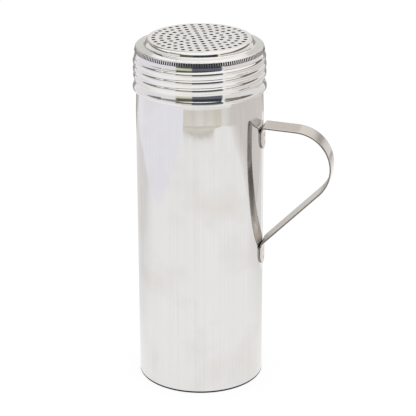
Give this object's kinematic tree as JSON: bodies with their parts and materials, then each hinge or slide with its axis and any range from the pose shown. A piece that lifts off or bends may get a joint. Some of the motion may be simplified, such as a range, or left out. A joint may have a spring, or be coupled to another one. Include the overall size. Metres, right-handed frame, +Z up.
{
  "type": "handled spice shaker",
  "caption": "Tall steel shaker with a pierced screw lid, a knurled shoulder, a rolled thread and a bent strip handle welded to its side.",
  "frame": {"origin": "centre of the flat ring that the shaker stands on, on the axis of the tube", "axes": "+Z up along the axis of the tube, +X out towards the handle"},
  "size_m": [0.1087, 0.072, 0.1941],
  "materials": {
    "tube": "polished",
    "pan": "satin",
    "strip": "satin",
    "weld": "satin",
    "lid": "polished"
  },
  "bodies": {
    "shaker": {"body_tube": "tube", "base_pan": "pan", "handle": "strip", "upper_spot_welds": "weld", "lower_spot_welds": "weld"},
    "screw_lid": {"lid": "lid"}
  },
  "joints": [
    {"name": "lid_lift", "type": "slide", "parent": "shaker", "child": "screw_lid", "axis": [0, 0, 1], "range_m": [0, 0.035]}
  ]
}
